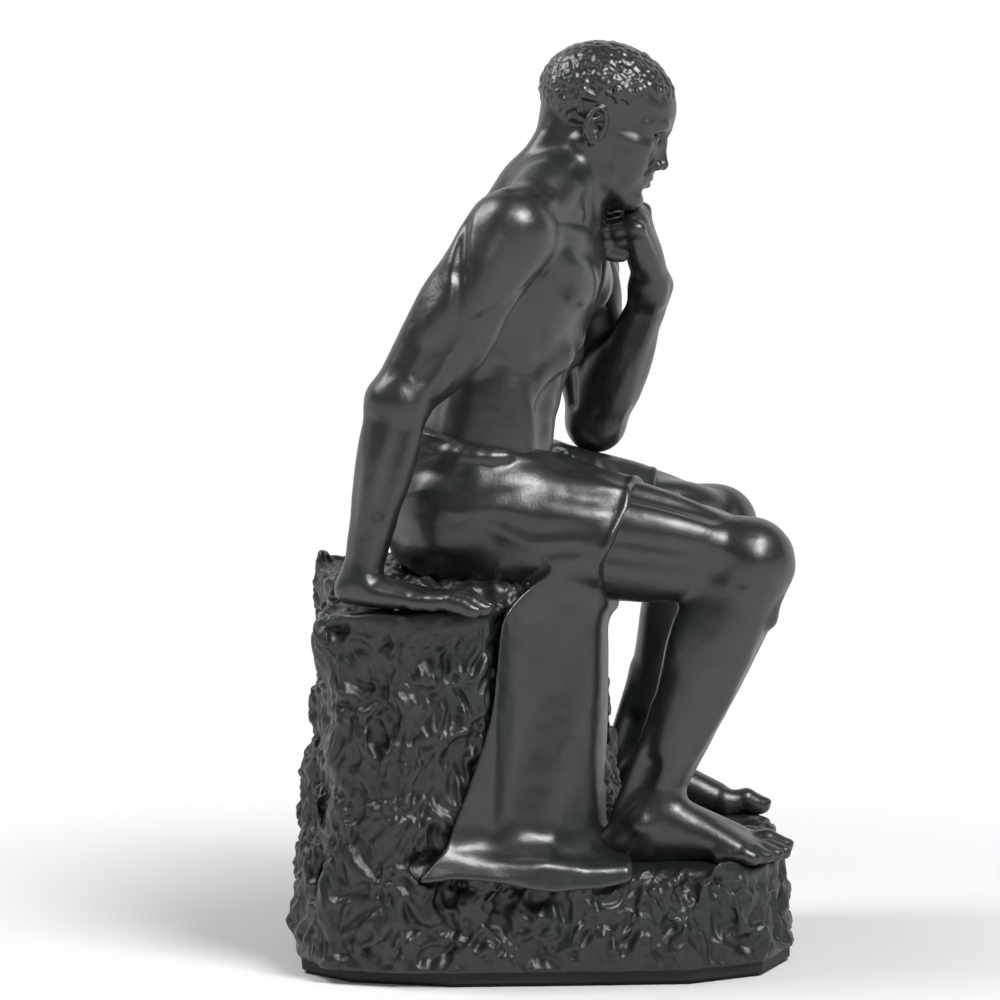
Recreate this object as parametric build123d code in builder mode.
"""Pensive seated figure on a rough rock, a statuette of cast resin with a dark bronze patina.

A calm figure of no one in particular sits on a rock with a cloth wrapped round the hips. The right hand
is planted on the rock behind, the left elbow rests on the raised left thigh, and the chin rests on the
left hand. The figure is cast in sections that meet on flat faces and are held by steel pins. The rock is
a hollow casting with ballast inside, a closing plate screwed under it and a felt pad.

The figure faces +X, +Y is its left and +Z is up. The origin is the centre of the underside.
All lengths are in millimetres and all angles in degrees.
"""

import os
from math import asin, atan2, cos, degrees, hypot, pi, radians, sin, sqrt

from build123d import *

# Rock, closing plate and felt
felt_thickness = 1.2
plate_thickness = 3.0
base_length = 142.0
base_width = 112.0
seat_height = 109.0
ledge_height = 31.0
step_rise = 1.2
felt_inset = 2.6
plate_inset = 1.4
rock_wall = 8.0
roof_thickness = 14.0
plinth_rise = 10.0
ballast_clearance = 2.0

# Lengths of the figure, from joint to joint
hip_setback = 19.0
hip_rise = 16.0
hip_half = 18.0
torso_length = 90.0
spine_bow = 5.0
shoulder_half = 35.5
neck_length = 17.0
head_height = 42.0
thigh_length = 77.0
shank_length = 76.0
ankle_rise = 12.0
foot_length = 49.0
upper_arm_length = 56.0
forearm_length = 49.0
palm_length = 18.0
wrist_rise = 8.5
finger_length = 17.0

# Girths of the figure, as the half width of the fullest cross section
chest_half = 32.0
chest_half_depth = 21.5
hip_half_width = 33.0
hip_half_depth = 23.0
neck_radius = 11.4
shoulder_radius = 12.0
thigh_radius = 18.2
knee_radius = 12.0
calf_radius = 11.8
upper_arm_radius = 10.2
elbow_radius = 7.2
forearm_radius = 8.8
wrist_radius = 5.2
head_half_width = 15.2
head_half_depth = 19.0
foot_half_width = 9.4
palm_half_width = 8.2
palm_half_depth = 4.0
finger_radius = 2.1
toe_radius = 2.5
ear_radius = 2.4
chest_muscle_radius = 7.6
yoke_muscle_radius = 8.0
blade_radius = 5.6
flank_radius = 6.4
nape_radius = 6.4
belly_radius = 5.6

# Cloth
cloth_thickness = 2.2

# Steel pins, seat bolt and screws
pin_radius = 2.0
pin_bite = 9.0
waist_pin_radius = 3.0
foot_pin_radius = 1.5
hand_pin_radius = 1.0
hand_pin_bite = 4.0
glue_gap = 0.05
rest_gap = 0.25
bolt_radius = 3.0
bolt_hole_gap = 0.3
bolt_bite = 16.0
washer_radius = 7.0
washer_thickness = 1.6
nut_radius = 5.6
nut_height = 5.0
bolt_tail = 3.0
screw_radius = 1.5
screw_length = 11.0
screw_head_radius = 3.0
screw_head_height = 1.6

# Pose
torso_lean = 15.0
torso_twist = -15.0
neck_lean = 30.0
head_bow = 20.0
right_thigh_pitch = -8.5
right_thigh_yaw = -8.0

up = Vector(0, 0, 1)
left = Vector(0, 1, 0)


def heading(pitch, yaw):
    """A unit vector that points forwards, turned up by pitch and to the left by yaw."""
    level = cos(radians(pitch))
    return Vector(level * cos(radians(yaw)), level * sin(radians(yaw)), sin(radians(pitch)))


def across(along, towards):
    """The unit vector square to along that leans most towards the given direction."""
    return (towards - along * (towards.dot(along) / along.dot(along))).normalized()


# Spine, shoulders, neck and head
plate_top = felt_thickness + plate_thickness
hips = Vector(-hip_setback, 0, seat_height + hip_rise)
spine_up = Vector(sin(radians(torso_lean)), 0, cos(radians(torso_lean)))
spine_back = Vector(-cos(radians(torso_lean)), 0, sin(radians(torso_lean)))
shoulder_left = Vector(-sin(radians(torso_twist)), cos(radians(torso_twist)), 0)


def spine_point(share):
    """A point on the bowed spine, from 0 at the hips to 1 at the root of the neck."""
    return hips + spine_up * (torso_length * share) + spine_back * (spine_bow * sin(pi * share))


def spine_plane(share):
    """The plane across the spine there, with its X to the figure's left."""
    step_share = 0.01
    tangent = spine_point(share + step_share) - spine_point(share - step_share)
    turn = radians(torso_twist * share)
    return Plane(origin=spine_point(share), x_dir=Vector(-sin(turn), cos(turn), 0), z_dir=tangent)


shoulder_share = 0.88
shoulder_rise_shares = {"left": 0.03, "right": 0.06}
shoulder_centre = spine_point(shoulder_share)
left_shoulder = shoulder_centre + shoulder_left * shoulder_half + up * (
    shoulder_half * shoulder_rise_shares["left"]
)
right_shoulder = shoulder_centre - shoulder_left * shoulder_half + up * (
    shoulder_half * shoulder_rise_shares["right"]
)
neck_share = 1.04
neck_root = spine_point(neck_share)
neck_along = Vector(sin(radians(neck_lean)), 0, cos(radians(neck_lean)))
skull_base = neck_root + neck_along * neck_length
face_forward = heading(-head_bow, 0)
face_up = Vector(sin(radians(head_bow)), 0, cos(radians(head_bow)))
ear_shares = (0.05, 0.10)
head_centre = (
    skull_base
    + face_forward * (head_height * ear_shares[0])
    + face_up * (head_height * ear_shares[1])
)


def head_point(forward_share, left_share, up_share):
    """A place on the head, in shares of its height from the middle between the ears."""
    return (
        head_centre
        + face_forward * (head_height * forward_share)
        + left * (head_height * left_share)
        + face_up * (head_height * up_share)
    )


# Left arm: the hand props the chin, and the elbow hangs below it and ahead of the shoulder
chin_rest = head_point(0.38, 0.05, -0.53)
left_hand_along = Vector(-0.28, -0.34, 0.90).normalized()
left_wrist = chin_rest - left_hand_along * (palm_length + palm_half_depth)
reach = left_wrist - left_shoulder
elbow_along = (upper_arm_length**2 - forearm_length**2 + reach.length**2) / (2 * reach.length)
elbow_out = sqrt(upper_arm_length**2 - elbow_along**2)
elbow_pole = Vector(0.34, -0.30, -0.89)
left_elbow = left_shoulder + reach.normalized() * elbow_along + across(reach, elbow_pole) * elbow_out

# Right arm: it leans back to a hand planted on the rock
right_upper_heading = Vector(-0.55, -0.16, -0.82).normalized()
right_forearm_heading = Vector(-0.20, -0.07, -0.975).normalized()
right_elbow = right_shoulder + right_upper_heading * upper_arm_length
right_wrist = right_elbow + right_forearm_heading * forearm_length
right_hand_along = heading(0, -14)
hand_rest_height = right_wrist.Z - wrist_rise
palm_lift_share = 1.05
heel_back_share = 0.6
heel_drop_share = 0.25
palm_lift = palm_half_depth * palm_lift_share
palm_heel = right_hand_along * (wrist_radius * heel_back_share) + up * (wrist_rise * heel_drop_share)
right_palm_start = right_wrist - palm_heel
right_knuckles = right_wrist + right_hand_along * palm_length - up * (wrist_rise - palm_lift)
palm_pin_share = 0.62

# Left leg: the thigh passes just under the elbow
left_hip = hips + left * hip_half
right_hip = hips - left * hip_half
elbow_reach = hypot(left_elbow.X - left_hip.X, left_elbow.Y - left_hip.Y)
elbow_climb = left_elbow.Z - left_hip.Z
thigh_at_elbow_share = 0.95
elbow_stand_off = (thigh_radius + cloth_thickness) * thigh_at_elbow_share + elbow_radius + rest_gap
left_thigh_yaw = degrees(atan2(left_elbow.Y - left_hip.Y, left_elbow.X - left_hip.X))
left_thigh_pitch = degrees(
    atan2(elbow_climb, elbow_reach) - asin(elbow_stand_off / hypot(elbow_reach, elbow_climb))
)
left_knee = left_hip + heading(left_thigh_pitch, left_thigh_yaw) * thigh_length
left_foot_yaw = 2.0

# Right leg: it hangs lower and rests on the ledge
right_knee = right_hip + heading(right_thigh_pitch, right_thigh_yaw) * thigh_length
right_foot_yaw = -6.0
step_height = ledge_height + step_rise


def ankle_below(knee, ground, way):
    """Where the shank from a knee ends when the foot stands on the ground, drawn in along a level way."""
    drop = knee.Z - ground - ankle_rise
    return knee - up * drop + way.normalized() * sqrt(shank_length**2 - drop**2)


left_ankle = ankle_below(left_knee, step_height, Vector(-0.93, -0.37, 0))
right_ankle = ankle_below(right_knee, ledge_height, Vector(-1.0, -0.03, 0))


limb_sides = 12
trunk_sides = 16
joint_sides = 8
digit_sides = 6
round_power = 2.0
trunk_power = 2.5


def ring(origin, along, side, wide, deep, sides=limb_sides, power=round_power):
    """The corners of one cross section, wide along side and deep across it, squarer with more power."""
    plane = Plane(origin=origin, x_dir=side, z_dir=along)
    swell = 1 / sqrt(cos(pi / sides))
    points = []
    for index in range(sides):
        turn = 2 * pi * (index + 0.5) / sides
        reach = swell / (abs(cos(turn)) ** power + abs(sin(turn)) ** power) ** (1 / power)
        points.append(plane.from_local_coords(Vector(wide * reach * cos(turn), deep * reach * sin(turn))))
    return points


def polygon(points):
    """A flat face with the given corners."""
    return Face(Wire.make_polygon(points))


def faceted(rings):
    """A closed solid over a stack of cross sections with as many corners each, in three-sided facets."""
    facets = [polygon(rings[0]), polygon(rings[-1])]
    for low, high in zip(rings, rings[1:]):
        for index in range(len(low)):
            facets.append(polygon([low[index - 1], low[index], high[index]]))
            facets.append(polygon([low[index - 1], high[index], high[index - 1]]))
    return Solid(Shell(facets))


def limb_rings(start, end, side, girth, shares):
    """Cross sections of a limb. Each row of shares is a place along it, a width, a depth and a shift."""
    along = end - start
    front = along.cross(side).normalized()
    return [
        ring(
            start + along * place + front * (girth * shift),
            along,
            side,
            girth * wide,
            girth * deep,
        )
        for place, wide, deep, shift in shares
    ]


def round_bar(start, end, radii, sides):
    """A bar with flat sides from start to end. Each row is a place along it and a radius."""
    along = end - start
    side = across(along, left + up)
    rings = [ring(start + along * place, along, side, radius, radius, sides) for place, radius in radii]
    return faceted(rings)


spindle_shares = [(0.0, 0.30), (0.22, 0.80), (0.5, 1.0), (0.78, 0.80), (1.0, 0.30)]
cap_reach_share = 0.7
cap_radius_share = 0.6


def spindle(start, end, radius):
    """A muscle, full in the middle and slender at both ends."""
    return round_bar(start, end, [(place, radius * share) for place, share in spindle_shares], joint_sides)


def capsule(start, end, start_radius, end_radius, sides=joint_sides):
    """A bar with rounded ends, such as the bone of a finger."""
    length = (end - start).length
    start_cap = start_radius * cap_reach_share / length
    end_cap = end_radius * cap_reach_share / length
    rows = [
        (-start_cap, start_radius * cap_radius_share),
        (0.0, start_radius),
        (1.0, end_radius),
        (1 + end_cap, end_radius * cap_radius_share),
    ]
    return round_bar(start, end, rows, sides)


joint_span_share = 0.3


def joint(centre, along, radius):
    """The rounded block of a joint."""
    half = along.normalized() * (radius * joint_span_share)
    return capsule(centre - half, centre + half, radius, radius)


def rod(start, along, length, radius):
    """A straight round rod from start."""
    with BuildPart() as made:
        with BuildSketch(Plane(origin=start, z_dir=along)):
            Circle(radius)
        extrude(amount=length)
    return made.part


# Steel pins: where two castings meet, the line through the joint, the radius and the bite into each
arm_seam_share = 0.47
shoulder_cut = upper_arm_length * arm_seam_share
left_arm_along = (left_elbow - left_shoulder).normalized()
right_arm_along = (right_elbow - right_shoulder).normalized()
left_thigh_along = (left_knee - left_hip).normalized()
right_thigh_along = (right_knee - right_hip).normalized()
waist_share = 0.22
left_hem_share = 0.62
right_hem_share = 0.50
waist_plane = spine_plane(waist_share)
neck_plane = spine_plane(neck_share)
left_arm_seam = left_shoulder + left_arm_along * shoulder_cut
right_arm_seam = right_shoulder + right_arm_along * shoulder_cut
left_hem = left_hip + left_thigh_along * (thigh_length * left_hem_share)
right_hem = right_hip + right_thigh_along * (thigh_length * right_hem_share)
left_sole = left_ankle - up * ankle_rise
right_sole = right_ankle - up * ankle_rise
palm_middle = right_palm_start + (right_knuckles - right_palm_start) * palm_pin_share
palm_foot = Vector(palm_middle.X, palm_middle.Y, hand_rest_height)
pins = {
    "neck_pin": (neck_plane.origin, neck_plane.z_dir, pin_radius, pin_bite),
    "waist_pin": (waist_plane.origin, waist_plane.z_dir, waist_pin_radius, pin_bite),
    "left_shoulder_pin": (left_arm_seam, left_arm_along, pin_radius, pin_bite),
    "right_shoulder_pin": (right_arm_seam, right_arm_along, pin_radius, pin_bite),
    "left_thigh_pin": (left_hem, left_thigh_along, pin_radius, pin_bite),
    "right_thigh_pin": (right_hem, right_thigh_along, pin_radius, pin_bite),
    "left_foot_pin": (left_sole, up, foot_pin_radius, pin_bite),
    "right_foot_pin": (right_sole, up, foot_pin_radius, pin_bite),
    "right_hand_pin": (palm_foot, up, hand_pin_radius, hand_pin_bite),
}


def pin_solid(name, gap):
    """A steel pin, or with a gap the hole that it is glued into."""
    centre, along, radius, bite = pins[name]
    return rod(centre - along * (bite + gap), along, 2 * (bite + gap), radius + gap)


# Rock
outline_shares = [
    (0.50, 0.10),
    (0.49, 0.32),
    (0.42, 0.44),
    (0.22, 0.49),
    (0.0, 0.50),
    (-0.22, 0.49),
    (-0.40, 0.42),
    (-0.49, 0.24),
    (-0.50, -0.05),
    (-0.48, -0.32),
    (-0.385, -0.45),
    (-0.18, -0.50),
    (0.06, -0.49),
    (0.28, -0.46),
    (0.43, -0.36),
    (0.49, -0.16),
]
seat_outline_shares = [
    (0.13, 0.05),
    (0.08, 0.22),
    (0.03, 0.33),
    (-0.02, 0.40),
    (-0.13, 0.42),
    (-0.26, 0.41),
    (-0.38, 0.35),
    (-0.445, 0.20),
    (-0.455, -0.02),
    (-0.425, -0.19),
    (-0.36, -0.28),
    (-0.26, -0.335),
    (-0.14, -0.355),
    (0.0, -0.34),
    (0.09, -0.27),
    (0.13, -0.12),
]
step_shares = [
    (-0.05, 0.02),
    (0.40, 0.03),
    (0.50, 0.12),
    (0.485, 0.30),
    (0.40, 0.42),
    (0.15, 0.46),
    (-0.05, 0.40),
]
knob_shares = [
    (-0.45, -0.16),
    (-0.20, -0.20),
    (-0.06, -0.33),
    (-0.12, -0.46),
    (-0.28, -0.50),
    (-0.42, -0.43),
]
rough_shares = [0.5, -1.0, 0.9, -0.4, 0.7, -0.8, 0.2, 1.0, -0.6, 0.4, -0.9]
edge_relief_share = 0.010
side_relief_share = 0.034


def corners(shares, height, swell=1.0, roll=0, relief_share=edge_relief_share):
    """The corners of a rock outline at a height, in shares of the base and a little uneven."""
    points = []
    for index, (x, y) in enumerate(shares):
        size = swell + relief_share * rough_shares[(index + roll) % len(rough_shares)]
        points.append(Vector(base_length * x * size, base_width * y * size, height))
    return points


def layer(points, inset):
    """A flat polygon through the given corners, drawn in by the inset."""
    with BuildSketch(Plane.XY.offset(points[0].Z)) as drawn:
        with BuildLine():
            Polyline(*[(p.X, p.Y) for p in points], close=True)
        make_face()
        offset(amount=-inset, kind=Kind.INTERSECTION)
    return drawn.sketch.face()


belly_height = plate_top + plinth_rise
skirt_height = ledge_height - plinth_rise
# Each row is a height between the skirt and the top, a swell, which rough share comes first, and the relief
seat_rows_shares = [
    (0.0, 1.08, 2, side_relief_share),
    (0.22, 1.04, 7, side_relief_share),
    (0.44, 0.99, 5, side_relief_share),
    (0.66, 0.985, 1, side_relief_share),
    (0.85, 0.995, 8, side_relief_share),
    (1.0, 0.99, 3, edge_relief_share),
]
knob_rows_shares = [
    (0.0, 1.03, 1, side_relief_share),
    (0.30, 1.0, 5, side_relief_share),
    (0.62, 0.975, 6, side_relief_share),
    (1.0, 1.0, 2, edge_relief_share),
]


def column(shares, rows, top):
    """A column of rock that rises from the skirt to its top."""
    rise = top - skirt_height
    return faceted([corners(shares, skirt_height + rise * place, *row) for place, *row in rows])


roof_underside = seat_height - roof_thickness
cavity_corners = corners(seat_outline_shares, plate_top, 0.97)
screw_share_places = [(-0.445, 0.13), (-0.445, -0.13), (0.34, 0.28), (0.34, -0.28)]
screw_places = [(base_length * x, base_width * y) for x, y in screw_share_places]
bolt_length = roof_thickness + washer_thickness + nut_height + bolt_tail + bolt_bite
bolt_bottom = roof_underside - washer_thickness - nut_height - bolt_tail
bolt_foot = Vector(hips.X, hips.Y, bolt_bottom)

with BuildPart() as rock_seat:
    add(
        faceted(
            [
                corners(outline_shares, plate_top),
                corners(outline_shares, belly_height, 0.985, 1, side_relief_share),
                corners(outline_shares, ledge_height, 0.95, 4),
            ]
        )
    )
    add(column(seat_outline_shares, seat_rows_shares, seat_height))
    add(faceted([corners(step_shares, skirt_height, 1.0, 1), corners(step_shares, step_height, 0.96, 3)]))
    add(column(knob_shares, knob_rows_shares, hand_rest_height))
rock_block = rock_seat.part

with BuildPart() as rock_seat:
    add(rock_block)
    with BuildSketch(Plane.XY.offset(plate_top)):
        add(layer(cavity_corners, rock_wall))
    extrude(amount=roof_underside - plate_top, mode=Mode.SUBTRACT)
    add(rod(bolt_foot, up, bolt_length, bolt_radius + bolt_hole_gap), mode=Mode.SUBTRACT)
    for pin_name in ("left_foot_pin", "right_foot_pin", "right_hand_pin"):
        add(pin_solid(pin_name, glue_gap), mode=Mode.SUBTRACT)
    with Locations(*[(x, y, plate_top) for x, y in screw_places]):
        Cylinder(
            screw_radius + glue_gap,
            screw_length - plate_thickness + glue_gap,
            align=(Align.CENTER, Align.CENTER, Align.MIN),
            mode=Mode.SUBTRACT,
        )

# Torso, from the waist to the root of the neck
# Each row is a place along the spine, a half width, a half depth and a shift to the back
torso_shares = [
    (waist_share, 0.85, 0.86, 0.00),
    (0.36, 0.80, 0.79, 0.02),
    (0.52, 0.86, 0.88, 0.02),
    (0.68, 0.94, 0.97, 0.00),
    (0.82, 0.94, 0.95, 0.02),
    (0.92, 0.82, 0.78, 0.05),
    (0.98, 0.62, 0.62, 0.06),
    (neck_share, 0.42, 0.54, 0.05),
]


def torso_place(share, left_share, front_share):
    """A place in the trunk, in shares of its spine, its half width and its half depth."""
    plane = spine_plane(share)
    front = plane.x_dir.cross(plane.z_dir)
    return plane.origin + plane.x_dir * (chest_half * left_share) + front * (chest_half_depth * front_share)


def torso_ring(share, wide, deep, back_shift):
    """One cross section of the trunk."""
    plane = spine_plane(share)
    return ring(
        torso_place(share, 0, -back_shift),
        plane.z_dir,
        plane.x_dir,
        chest_half * wide,
        chest_half_depth * deep,
        trunk_sides,
        trunk_power,
    )


# Each row is a place along the limb, a width, a depth and a shift to the front
upper_arm_shares = [
    (0.0, 1.1, 1.15, 0.0),
    (0.3, 1.0, 1.08, 0.0),
    (0.6, 0.9, 1.0, 0.04),
    (1.0, 0.74, 0.78, 0.0),
]
forearm_shares = [
    (0.0, 0.84, 0.84, 0.0),
    (0.25, 0.98, 0.92, 0.0),
    (0.6, 0.80, 0.72, 0.0),
    (1.0, 0.64, 0.50, 0.0),
]
# Each row is a muscle: two places along the limb, how far in front of its middle it lies, and its girth
upper_arm_muscle_shares = [(0.20, 0.94, 0.46, 0.70), (0.06, 0.84, -0.52, 0.68)]
forearm_muscle_shares = [(-0.12, 0.66, 0.42, 0.62), (0.02, 0.72, -0.36, 0.56)]
cap_end_share = 0.52
cap_end_radius_share = 0.6


def limb_muscles(start, end, front, girth, shares):
    """The muscles that stand out in front of a limb's middle and behind it."""
    along = end - start
    forwards = across(along, front)
    return [
        spindle(
            start + along * first + forwards * (girth * out),
            start + along * last + forwards * (girth * out),
            girth * size,
        )
        for first, last, out, size in shares
    ]


def upper_arm(shoulder, elbow, wrist, keep):
    """The upper arm on one side of its seam: the stump on the torso, or the rest of it."""
    along = (elbow - shoulder).normalized()
    cap_end = shoulder + (elbow - shoulder) * cap_end_share
    with BuildPart() as made:
        add(faceted(limb_rings(shoulder, elbow, left, upper_arm_radius, upper_arm_shares)))
        add(limb_muscles(shoulder, elbow, wrist - elbow, upper_arm_radius, upper_arm_muscle_shares))
        add(capsule(shoulder, cap_end, shoulder_radius, upper_arm_radius * cap_end_radius_share))
        split(bisect_by=Plane(origin=shoulder + along * shoulder_cut, z_dir=along), keep=keep)
    return made.part


# Each row is a place in the trunk, in shares of its spine, its half width and its half depth
chest_shares = (0.80, 0.06, 0.72)
yoke_shares = (1.0, 0.12, -0.20)
blade_low_shares = (0.58, 0.36, -0.74)
blade_high_shares = (0.92, 0.66, -0.60)
flank_low_shares = (0.40, 0.52, -0.42)
flank_high_shares = (0.86, 0.96, -0.16)
nape_low_shares = (0.66, 0.15, -0.74)
nape_high_shares = (1.03, 0.17, -0.34)
belly_low_shares = (0.20, 0.20, 0.62)
belly_high_shares = (0.62, 0.19, 0.70)


def mirrored(shares, side_share):
    """A place in the trunk on the figure's left, or with a side share of -1 on its right."""
    share, left_share, front_share = shares
    return torso_place(share, left_share * side_share, front_share)


with BuildPart() as torso:
    add(faceted([torso_ring(*row) for row in torso_shares]))
    for shoulder, elbow, wrist, side_share in (
        (left_shoulder, left_elbow, left_wrist, 1),
        (right_shoulder, right_elbow, right_wrist, -1),
    ):
        blade_low = mirrored(blade_low_shares, side_share)
        blade_high = mirrored(blade_high_shares, side_share)
        flank_low = mirrored(flank_low_shares, side_share)
        flank_high = mirrored(flank_high_shares, side_share)
        nape_low = mirrored(nape_low_shares, side_share)
        nape_high = mirrored(nape_high_shares, side_share)
        belly_low = mirrored(belly_low_shares, side_share)
        belly_high = mirrored(belly_high_shares, side_share)
        add(
            [
                upper_arm(shoulder, elbow, wrist, Keep.BOTTOM),
                spindle(mirrored(chest_shares, side_share), shoulder, chest_muscle_radius),
                spindle(mirrored(yoke_shares, side_share), shoulder, yoke_muscle_radius),
                spindle(blade_low, blade_high, blade_radius),
                spindle(flank_low, flank_high, flank_radius),
                spindle(nape_low, nape_high, nape_radius),
                spindle(belly_low, belly_high, belly_radius),
            ]
        )
    split(bisect_by=Plane(origin=waist_plane.origin, z_dir=waist_plane.z_dir), keep=Keep.TOP)
    split(bisect_by=Plane(origin=neck_plane.origin, z_dir=neck_plane.z_dir), keep=Keep.BOTTOM)
    for pin_name in ("neck_pin", "waist_pin", "left_shoulder_pin", "right_shoulder_pin"):
        add(pin_solid(pin_name, glue_gap), mode=Mode.SUBTRACT)

# Head: each row is a height, a half width, a half depth and a shift forwards
head_shares = [
    (-0.47, 0.30, 0.24, 0.27),
    (-0.38, 0.56, 0.50, 0.17),
    (-0.26, 0.72, 0.72, 0.10),
    (-0.12, 0.84, 0.86, 0.05),
    (0.04, 0.93, 0.95, 0.01),
    (0.20, 0.98, 1.0, -0.02),
    (0.36, 0.84, 0.86, -0.05),
    (0.47, 0.50, 0.52, -0.06),
    (0.51, 0.20, 0.22, -0.06),
]
hair_shares = [
    (-0.16, 0.56, 0.36, -0.24),
    (0.02, 0.92, 0.66, -0.17),
    (0.16, 1.04, 0.92, -0.08),
    (0.30, 1.00, 0.95, -0.07),
    (0.42, 0.80, 0.76, -0.07),
    (0.51, 0.42, 0.44, -0.07),
    (0.54, 0.16, 0.18, -0.07),
]
# Each row is a form of the face or ear: two places on the head on its left side, and two radii, in shares
# of the head's height: brow, cheekbone, jaw, eye, nostril, upper lip, lower lip and ear
feature_shares = [
    ((0.355, 0.00, 0.105), (0.265, 0.235, 0.085), 0.045, 0.035),
    ((0.235, 0.200, -0.05), (0.02, 0.300, -0.03), 0.045, 0.030),
    ((0.275, 0.055, -0.42), (0.01, 0.235, -0.26), 0.060, 0.055),
    ((0.300, 0.105, 0.015), (0.290, 0.175, 0.012), 0.048, 0.042),
    ((0.390, 0.030, -0.150), (0.385, 0.055, -0.150), 0.030, 0.026),
    ((0.392, 0.000, -0.238), (0.345, 0.085, -0.258), 0.022, 0.012),
    ((0.384, 0.000, -0.290), (0.342, 0.080, -0.275), 0.025, 0.013),
    ((-0.045, 0.325, -0.085), (-0.075, 0.345, 0.075), 0.042, 0.058),
]
nose_shares = [((0.372, 0, 0.085), (0.420, 0, -0.135), 0.030, 0.042)]
chin_shares = [((0.310, -0.035, -0.41), (0.310, 0.035, -0.41), 0.078, 0.078)]
neck_low_share = 0.5
neck_top_share = 0.6


def head_ring(height, wide, deep, forward):
    """One level cross section of the head."""
    origin = head_point(forward, 0, height)
    return ring(origin, face_up, left, head_half_width * wide, head_half_depth * deep, trunk_sides)


def feature(first, second, first_radius, second_radius, side_share=1):
    """A form of the face between two places on the head, or with a side share of -1 its mirror image."""
    ends = [head_point(forward, sideways * side_share, rise) for forward, sideways, rise in (first, second)]
    return capsule(*ends, head_height * first_radius, head_height * second_radius, digit_sides)


with BuildPart() as head:
    add(faceted([head_ring(*row) for row in head_shares]))
    add(faceted([head_ring(*row) for row in hair_shares]))
    neck_low = neck_root + neck_along * (neck_length * neck_low_share)
    neck_top = skull_base + neck_along * (neck_radius * neck_top_share)
    add(
        faceted(
            [
                torso_ring(*torso_shares[-1]),
                ring(neck_low, neck_along, left, neck_radius, neck_radius, trunk_sides),
                ring(neck_top, neck_along, left, neck_radius, neck_radius, trunk_sides),
            ]
        )
    )
    add([feature(*row) for row in nose_shares + chin_shares])
    add([feature(*row, side_share) for row in feature_shares for side_share in (1, -1)])
    add(torso.part, mode=Mode.SUBTRACT)
    add(pin_solid("neck_pin", glue_gap), mode=Mode.SUBTRACT)

# Hands
# Each row is a finger: where its knuckle, middle joint and tip lie across and along the hand
planted_finger_shares = [
    (0.00, -0.66, 0.52, -0.86, 0.92, -0.95),
    (0.05, -0.22, 0.58, -0.30, 1.02, -0.34),
    (0.04, 0.22, 0.56, 0.26, 0.98, 0.28),
    (-0.02, 0.64, 0.46, 0.80, 0.84, 0.92),
]


def digit(points, radius):
    """The bones of a finger or toe, with rounded joints and a round tip."""
    return [capsule(start, end, radius, radius, digit_sides) for start, end in zip(points, points[1:])]


right_hand_side = up.cross(right_hand_along)


def planted_point(place, sideways, height):
    """A place on the planted hand, in shares of finger length, palm half width and finger radius."""
    forwards = right_hand_along * (finger_length * place)
    spot = right_knuckles + forwards + right_hand_side * (palm_half_width * sideways)
    return Vector(spot.X, spot.Y, hand_rest_height + finger_radius * height)


palm_shares = [(0.0, 0.66, 0.54, 0.0), (0.5, 0.92, 0.52, 0.0), (1.0, 1.0, 0.40, 0.0)]
planted_thumb_shares = [(-0.75, 0.7, 1.5), (-0.35, 1.3, 1.4), (0.05, 1.5, 1.1)]
thumb_share = 1.15

with BuildPart() as right_arm:
    bones = digit([planted_point(*row) for row in planted_thumb_shares], finger_radius * thumb_share)
    for root, root_side, middle, middle_side, tip, tip_side in planted_finger_shares:
        digit_points = [
            planted_point(root, root_side, 1.5),
            planted_point(middle, middle_side, 1.9),
            planted_point(tip, tip_side, 1.0),
        ]
        bones += digit(digit_points, finger_radius)
    add(faceted(limb_rings(right_elbow, right_wrist, left, forearm_radius, forearm_shares)))
    palm_rings = limb_rings(right_palm_start, right_knuckles, right_hand_side, palm_half_width, palm_shares)
    add(faceted(palm_rings))
    right_bend = right_elbow - right_shoulder
    add(
        [
            upper_arm(right_shoulder, right_elbow, right_wrist, Keep.TOP),
            joint(right_elbow, right_bend, elbow_radius),
            joint(right_wrist, right_wrist - right_elbow, wrist_radius),
            *limb_muscles(right_elbow, right_wrist, right_bend, forearm_radius, forearm_muscle_shares),
            *bones,
        ]
    )
    holes = [pin_solid(pin_name, glue_gap) for pin_name in ("right_shoulder_pin", "right_hand_pin")]
    add([rock_block, torso.part, *holes], mode=Mode.SUBTRACT)

fist_side = across(left_hand_along, Vector(0.25, 1, 0))
fist_curl = left_hand_along.cross(fist_side)
left_knuckles = left_wrist + left_hand_along * palm_length
fist_palm_shares = [(0.0, 0.68, 0.60, 0.0), (0.45, 0.95, 0.62, 0.0), (1.0, 1.0, 0.50, 0.0)]
# Each row is a finger: its place across the hand and its size
fist_finger_shares = [(-0.78, 0.88), (-0.27, 0.98), (0.25, 1.03), (0.76, 1.0)]
# The joints of a curled finger, out from the palm and along it, and the joints of the thumb
fist_joint_shares = [(0.0, 0.0), (0.54, 0.0), (0.60, -0.40), (0.36, -0.52)]
fist_thumb_shares = [(0.10, 0.75, -0.86), (0.42, 1.14, -0.42), (0.56, 1.05, 0.02)]


def fist_point(out, sideways, along):
    """A place on the curled hand, in shares of finger length, palm half width and finger length."""
    return (
        left_knuckles
        + fist_curl * (finger_length * out)
        + fist_side * (palm_half_width * sideways)
        + left_hand_along * (finger_length * along)
    )


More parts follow.
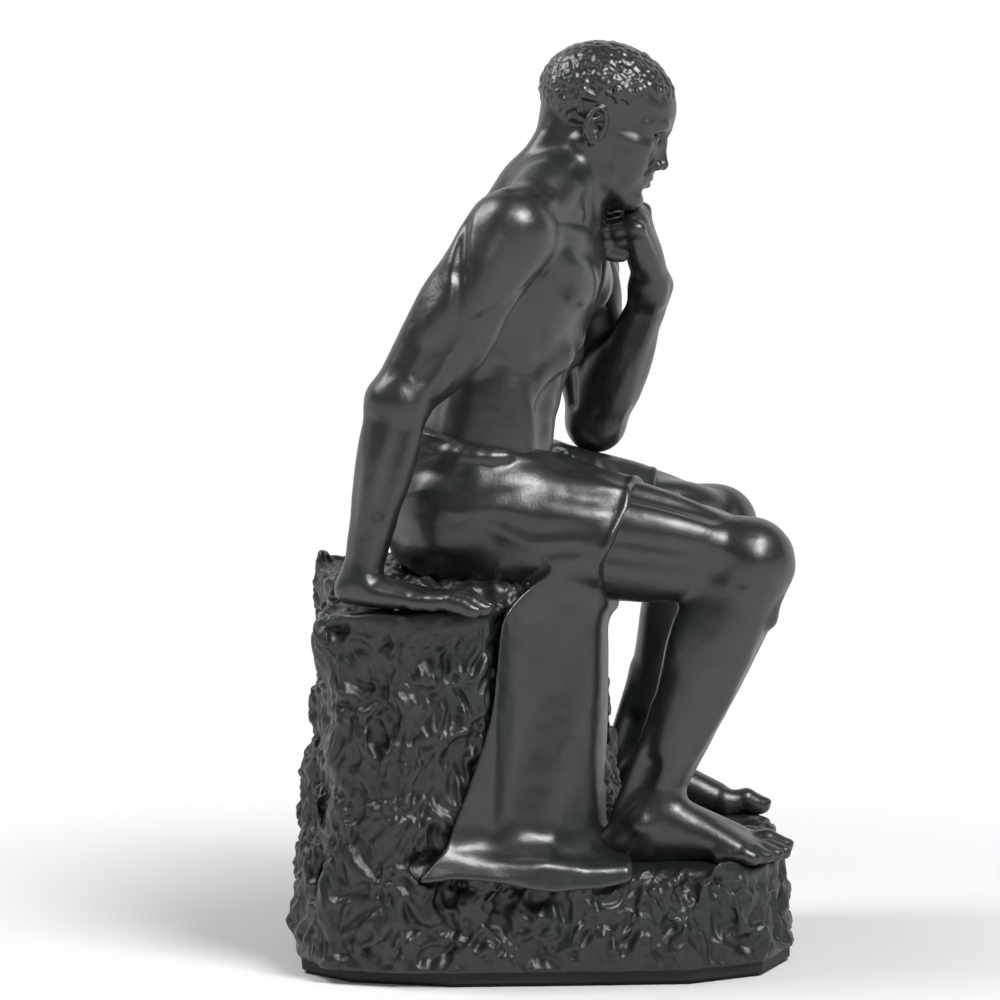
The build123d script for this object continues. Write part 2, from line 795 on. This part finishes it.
with BuildPart() as left_arm:
    bones = digit([fist_point(*row) for row in fist_thumb_shares], finger_radius * thumb_share)
    for sideways, size in fist_finger_shares:
        curl_points = [fist_point(out * size, sideways, along * size) for out, along in fist_joint_shares]
        bones += digit(curl_points, finger_radius)
    add(faceted(limb_rings(left_elbow, left_wrist, left, forearm_radius, forearm_shares)))
    add(faceted(limb_rings(left_wrist, left_knuckles, fist_side, palm_half_width, fist_palm_shares)))
    left_bend = left_elbow - left_shoulder
    add(
        [
            upper_arm(left_shoulder, left_elbow, left_wrist, Keep.TOP),
            joint(left_elbow, left_bend, elbow_radius),
            joint(left_wrist, left_wrist - left_elbow, wrist_radius),
            *limb_muscles(left_elbow, left_wrist, left_bend, forearm_radius, forearm_muscle_shares),
            *bones,
        ]
    )
    add([head.part, torso.part, pin_solid("left_shoulder_pin", glue_gap)], mode=Mode.SUBTRACT)

# Legs
thigh_shares = [
    (0.0, 1.0, 1.0, 0.0),
    (0.3, 0.97, 0.98, 0.0),
    (0.6, 0.84, 0.84, 0.0),
    (0.85, 0.66, 0.67, 0.0),
    (1.0, 0.60, 0.62, 0.0),
]
shank_shares = [
    (0.0, 0.92, 0.94, 0.0),
    (0.14, 0.92, 1.0, -0.04),
    (0.32, 0.96, 1.06, -0.13),
    (0.5, 0.84, 0.90, -0.09),
    (0.75, 0.58, 0.62, 0.0),
    (0.92, 0.48, 0.55, 0.0),
    (1.0, 0.50, 0.60, 0.0),
]
thigh_muscle_shares = [(0.20, 0.94, 0.46, 0.52), (0.16, 0.92, -0.42, 0.52)]
shank_muscle_shares = [(0.02, 0.60, -0.50, 0.62), (0.10, 0.76, 0.32, 0.40)]
foot_shares = [
    (-0.20, 0.50, 0.50, 0.42),
    (-0.08, 0.76, 0.95, 0.75),
    (0.08, 0.76, 1.14, 0.88),
    (0.30, 0.82, 0.84, 0.74),
    (0.50, 0.98, 0.56, 0.46),
    (0.60, 0.94, 0.40, 0.32),
]
toe_root_rise_share = 1.1
toe_tip_rise_share = 0.9
toe_spread_share = 1.08
# Each row is a toe: its root, its place across the foot, its tip and its girth
toe_shares = [
    (0.54, 0.62, 0.76, 1.35),
    (0.54, 0.18, 0.77, 1.0),
    (0.53, -0.18, 0.73, 0.95),
    (0.50, -0.50, 0.68, 0.9),
    (0.46, -0.76, 0.61, 0.85),
]


def foot_rings(sole, along):
    """Upright cross sections of a foot, from heel to toes."""
    return [
        ring(
            sole + along * (foot_length * place) + up * (foot_half_width * lift),
            along,
            up.cross(along),
            foot_half_width * wide,
            foot_half_width * high,
        )
        for place, wide, high, lift in foot_shares
    ]


def leg(hip, knee, ankle, hem_share, foot_yaw, side_share):
    """One leg from the hem of the cloth to the toes, flat where it meets the cloth and the rock."""
    foot_along = heading(0, foot_yaw)
    sole = ankle - up * ankle_rise
    thigh_along = (knee - hip).normalized()
    with BuildPart() as made:
        add(faceted(limb_rings(hip, knee, left, thigh_radius, thigh_shares)))
        add(limb_muscles(hip, knee, up, thigh_radius, thigh_muscle_shares))
        hem = hip + thigh_along * (thigh_length * hem_share)
        split(bisect_by=Plane(origin=hem, z_dir=thigh_along), keep=Keep.TOP)
        add(faceted(limb_rings(knee, ankle, left, calf_radius, shank_shares)))
        add(faceted(foot_rings(sole, foot_along)))
        bones = [joint(knee, knee - hip, knee_radius)]
        bones += limb_muscles(knee, ankle, foot_along, calf_radius, shank_muscle_shares)
        for root, sideways, tip, girth in toe_shares:
            lateral = up.cross(foot_along) * (foot_half_width * sideways * side_share)
            lift = up * (toe_radius * girth)
            toe_root = sole + foot_along * (foot_length * root) + lateral
            toe_tip = sole + foot_along * (foot_length * tip) + lateral * toe_spread_share
            toe_points = [toe_root + lift * toe_root_rise_share, toe_tip + lift * toe_tip_rise_share]
            bones += digit(toe_points, toe_radius * girth)
        add(bones)
        split(bisect_by=Plane(origin=sole, z_dir=up), keep=Keep.TOP)
        add(rock_block, mode=Mode.SUBTRACT)
    return made.part


with BuildPart() as left_leg:
    add(leg(left_hip, left_knee, left_ankle, left_hem_share, left_foot_yaw, -1))
    for pin_name in ("left_thigh_pin", "left_foot_pin"):
        add(pin_solid(pin_name, glue_gap), mode=Mode.SUBTRACT)

with BuildPart() as right_leg:
    add(leg(right_hip, right_knee, right_ankle, right_hem_share, right_foot_yaw, 1))
    for pin_name in ("right_thigh_pin", "right_foot_pin"):
        add(pin_solid(pin_name, glue_gap), mode=Mode.SUBTRACT)

# Cloth wrapped round the hips, with one end that falls over the rock
# Each row is a place along the spine, a half width and a half depth
pelvis_shares = [
    (-0.19, 0.80, 0.84),
    (-0.08, 0.96, 1.0),
    (0.06, 1.0, 1.02),
    (0.15, 0.92, 0.95),
    (0.18, 0.95, 0.98),
    (waist_share, 0.90, 0.93),
]
# Each row is a height between the ledge and the seat, then places along and across the base and sizes
fall_shares = [
    (1.20, -0.02, -0.24, 0.125, 0.030),
    (1.0, -0.01, -0.325, 0.14, 0.052),
    (0.72, 0.0, -0.335, 0.14, 0.050),
    (0.44, 0.01, -0.345, 0.135, 0.050),
    (0.20, 0.0, -0.36, 0.15, 0.052),
    (0.02, -0.01, -0.385, 0.175, 0.062),
]
fold_shares = [1.0, 1.0, 1.0, 1.0, 1.0, 1.0, 1.0, 1.08, 0.84, 1.12, 0.82, 1.08, 0.90, 1.0]
hip_setback_share = 0.3


def fall_ring(height_share, x_share, y_share, long_share, thick_share):
    """One level cross section of the end that falls over the rock, with its folds."""
    height = ledge_height + (seat_height - ledge_height) * height_share
    centre = Vector(base_length * x_share, base_width * y_share, height)
    points = []
    for index, fold in enumerate(fold_shares):
        turn = 2 * pi * index / len(fold_shares)
        along_base = base_length * long_share * cos(turn)
        across_base = base_width * thick_share * fold * sin(turn)
        points.append(centre + Vector(along_base, across_base, 0))
    return points


def cloth_thigh(hip, knee, hem_share):
    """The cloth over one thigh, as far as its hem."""
    along = (knee - hip).normalized()
    girth = thigh_radius + cloth_thickness
    start = hip - along * (thigh_radius * hip_setback_share)
    hem = hip + along * (thigh_length * hem_share)
    with BuildPart() as made:
        add(faceted(limb_rings(start, knee, left, girth, thigh_shares)))
        split(bisect_by=Plane(origin=hem, z_dir=along), keep=Keep.BOTTOM)
    return made.part


def pelvis_ring(share, wide, deep):
    """One cross section of the cloth round the hips."""
    plane = spine_plane(share)
    half_width = hip_half_width + cloth_thickness
    half_depth = hip_half_depth + cloth_thickness
    return ring(plane.origin, plane.z_dir, plane.x_dir, half_width * wide, half_depth * deep, trunk_sides)


with BuildPart() as lap_drape:
    add(faceted([pelvis_ring(*row) for row in pelvis_shares]))
    add(cloth_thigh(left_hip, left_knee, left_hem_share))
    add(cloth_thigh(right_hip, right_knee, right_hem_share))
    add(faceted([fall_ring(*row) for row in fall_shares]))
    for solid in (rock_block, torso.part, left_leg.part, right_leg.part):
        add(solid, mode=Mode.SUBTRACT)
    for pin_name in ("waist_pin", "left_thigh_pin", "right_thigh_pin"):
        add(pin_solid(pin_name, glue_gap), mode=Mode.SUBTRACT)
    add(rod(bolt_foot, up, bolt_length + glue_gap, bolt_radius + glue_gap), mode=Mode.SUBTRACT)

# Seat bolt, washer and nut
with BuildPart() as seat_bolt:
    add(rod(bolt_foot, up, bolt_length, bolt_radius))

with BuildPart() as bolt_washer:
    with BuildSketch(Plane(origin=Vector(hips.X, hips.Y, roof_underside - washer_thickness))):
        Circle(washer_radius)
        Circle(bolt_radius + bolt_hole_gap, mode=Mode.SUBTRACT)
    extrude(amount=washer_thickness)

with BuildPart() as bolt_nut:
    with BuildSketch(Plane(origin=Vector(hips.X, hips.Y, roof_underside - washer_thickness - nut_height))):
        RegularPolygon(nut_radius, side_count=6)
        Circle(bolt_radius + glue_gap, mode=Mode.SUBTRACT)
    extrude(amount=nut_height)

# Ballast, closing plate, its screws and the felt
with BuildPart() as ballast_block:
    with BuildSketch(Plane.XY.offset(plate_top)):
        add(layer(cavity_corners, rock_wall + ballast_clearance))
    extrude(amount=bolt_foot.Z - ballast_clearance - plate_top)

with BuildPart() as base_plate:
    with BuildSketch(Plane.XY.offset(felt_thickness)):
        add(layer(corners(outline_shares, felt_thickness), plate_inset))
    extrude(amount=plate_thickness)
    with Locations(*[(x, y, felt_thickness) for x, y in screw_places]):
        Cone(
            screw_head_radius + glue_gap,
            screw_radius + glue_gap,
            screw_head_height,
            align=(Align.CENTER, Align.CENTER, Align.MIN),
            mode=Mode.SUBTRACT,
        )
        Hole(screw_radius + glue_gap)

with BuildPart() as plate_screws:
    with Locations(*[(x, y, felt_thickness) for x, y in screw_places]):
        Cone(
            screw_head_radius,
            screw_radius,
            screw_head_height,
            align=(Align.CENTER, Align.CENTER, Align.MIN),
        )
        Cylinder(screw_radius, screw_length, align=(Align.CENTER, Align.CENTER, Align.MIN))

with BuildPart() as felt_pad:
    with BuildSketch():
        add(layer(corners(outline_shares, 0), felt_inset))
    extrude(amount=felt_thickness)

castings = {
    "rock_seat": rock_seat.part,
    "lap_drape": lap_drape.part,
    "torso": torso.part,
    "head": head.part,
    "left_arm": left_arm.part,
    "right_arm": right_arm.part,
    "left_leg": left_leg.part,
    "right_leg": right_leg.part,
    "seat_bolt": seat_bolt.part,
    "bolt_washer": bolt_washer.part,
    "bolt_nut": bolt_nut.part,
    "ballast_block": ballast_block.part,
    "base_plate": base_plate.part,
    "plate_screws": plate_screws.part,
    "felt_pad": felt_pad.part,
}
castings.update({pin_name: pin_solid(pin_name, 0.0) for pin_name in pins})

os.makedirs("parts", exist_ok=True)
for name, solid in castings.items():
    solid.label = name
    export_step(solid, f"parts/{name}.step")
